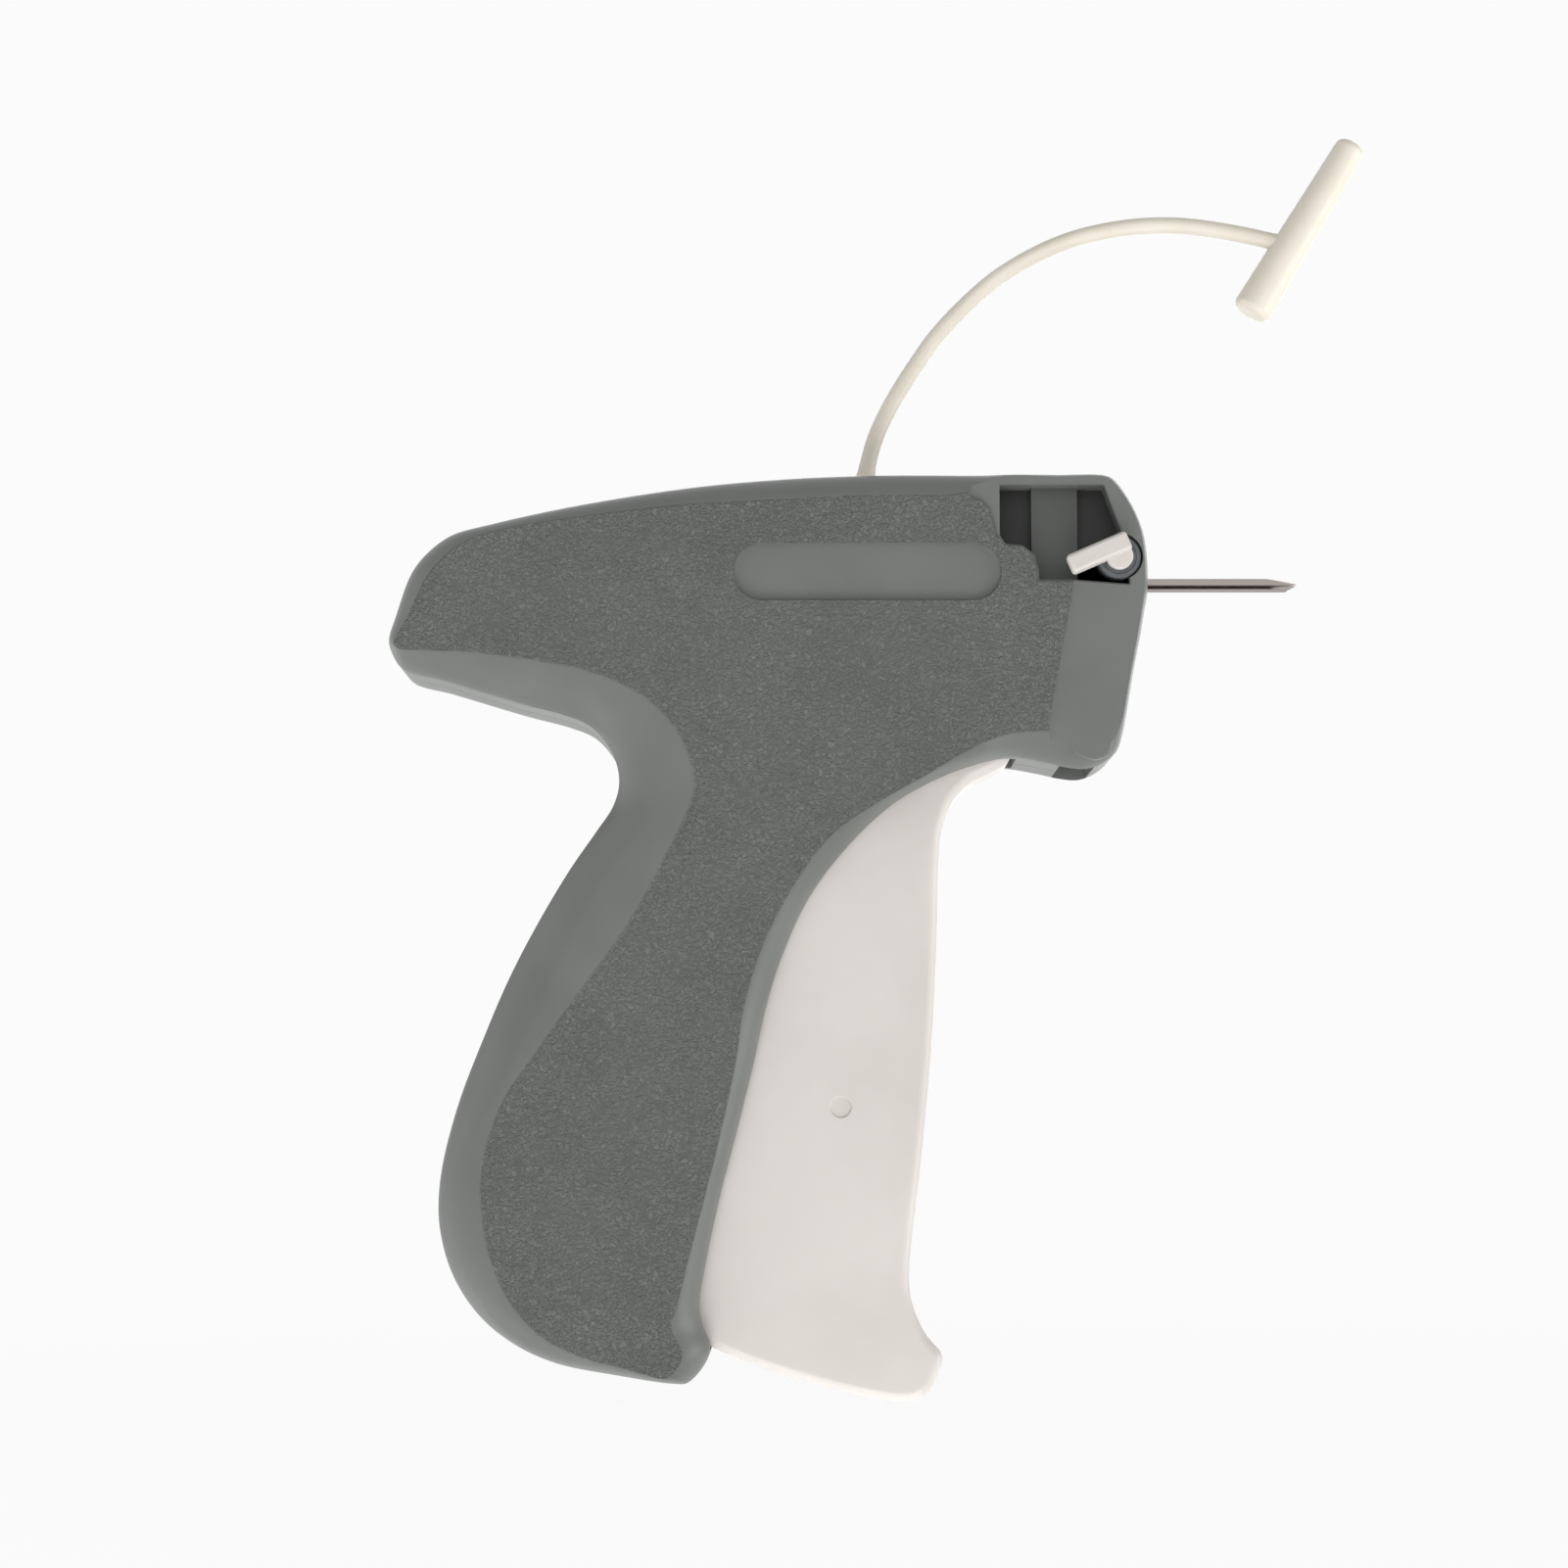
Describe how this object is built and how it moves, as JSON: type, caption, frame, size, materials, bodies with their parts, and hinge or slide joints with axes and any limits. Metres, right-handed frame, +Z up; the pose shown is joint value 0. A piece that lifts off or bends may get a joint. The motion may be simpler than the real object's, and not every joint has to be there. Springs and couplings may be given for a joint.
{
  "type": "garment tag attacher",
  "caption": "Pistol-grip garment tag attacher: moulded body with a squeeze trigger, a hollow needle at the nose, a needle lock lever and a springy T-ended strap on top.",
  "frame": {"origin": "root of the needle on the nose's front face, on the needle's axis", "axes": "+X forward along the needle, +Y across the body to the tool's left, +Z up"},
  "size_m": [0.1553, 0.0302, 0.201],
  "materials": {
    "grey_abs": "satin",
    "white_acetal": "semi-gloss",
    "cream_nylon": "satin",
    "dark_plastic": "satin",
    "bright_steel": "ground",
    "zinc_steel": "zinc plated"
  },
  "bodies": {
    "housing": {"right_shell": "grey_abs", "left_shell": "grey_abs", "shell_screws": "zinc_steel", "trigger_pin": "bright_steel", "arm_bracket": "grey_abs", "arm_pin": "bright_steel", "rod_guide": "grey_abs", "needle": "bright_steel", "needle_hub": "dark_plastic", "cutter_blade": "bright_steel", "clip_guide": "grey_abs", "feed_axle": "bright_steel", "detent_spring": "zinc_steel", "return_spring": "zinc_steel"},
    "trigger": {"trigger": "white_acetal"},
    "drive_arm": {"drive_arm": "white_acetal", "arm_roller": "bright_steel", "slider_pin": "bright_steel"},
    "slider": {"slider": "white_acetal", "ejector_rod": "bright_steel"},
    "feed_wheel": {"feed_wheel": "white_acetal"},
    "feed_slide": {"feed_slide": "grey_abs", "feed_pawl": "zinc_steel"},
    "needle_lock": {"lock_disc": "dark_plastic", "lock_lever": "white_acetal"},
    "t_strap": {"t_strap": "cream_nylon"}
  },
  "joints": [
    {"name": "trigger_squeeze", "type": "hinge", "parent": "housing", "child": "trigger", "pos_m": [-0.024, 0, -0.0085], "axis": [0, 1, 0], "range_deg": [0, 18], "stiffness_Nm_per_rad": 1.2, "springref_deg": -17.19},
    {"name": "arm_swing", "type": "hinge", "parent": "housing", "child": "drive_arm", "pos_m": [-0.065, 0, -0.048], "axis": [0, 1, 0], "range_deg": [0, 64]},
    {"name": "slider_stroke", "type": "slide", "parent": "housing", "child": "slider", "axis": [1, 0, 0], "range_m": [0, 0.04345], "deforming": ["return_spring"]},
    {"name": "feed_lift", "type": "slide", "parent": "housing", "child": "feed_slide", "axis": [0, 0, 1], "range_m": [0, 0.00207]},
    {"name": "feed_turn", "type": "hinge", "parent": "housing", "child": "feed_wheel", "pos_m": [-0.0075, 0, -0.0103], "axis": [0, 1, 0], "continuous": true},
    {"name": "lock_turn", "type": "hinge", "parent": "housing", "child": "needle_lock", "pos_m": [-0.0047, 0, 0.0026], "axis": [0, 1, 0], "range_deg": [0, 100]},
    {"name": "strap_swivel", "type": "hinge", "parent": "housing", "child": "t_strap", "pos_m": [-0.0439, 0, 0.0161], "axis": [0, 0, 1], "continuous": true}
  ],
  "couplings": [
    {"joint": "arm_swing", "follows": "trigger_squeeze", "ratio": 3.5556},
    {"joint": "slider_stroke", "follows": "trigger_squeeze", "m_per_rad": 0.13832},
    {"joint": "feed_lift", "follows": "trigger_squeeze", "m_per_rad": 0.0065902}
  ]
}
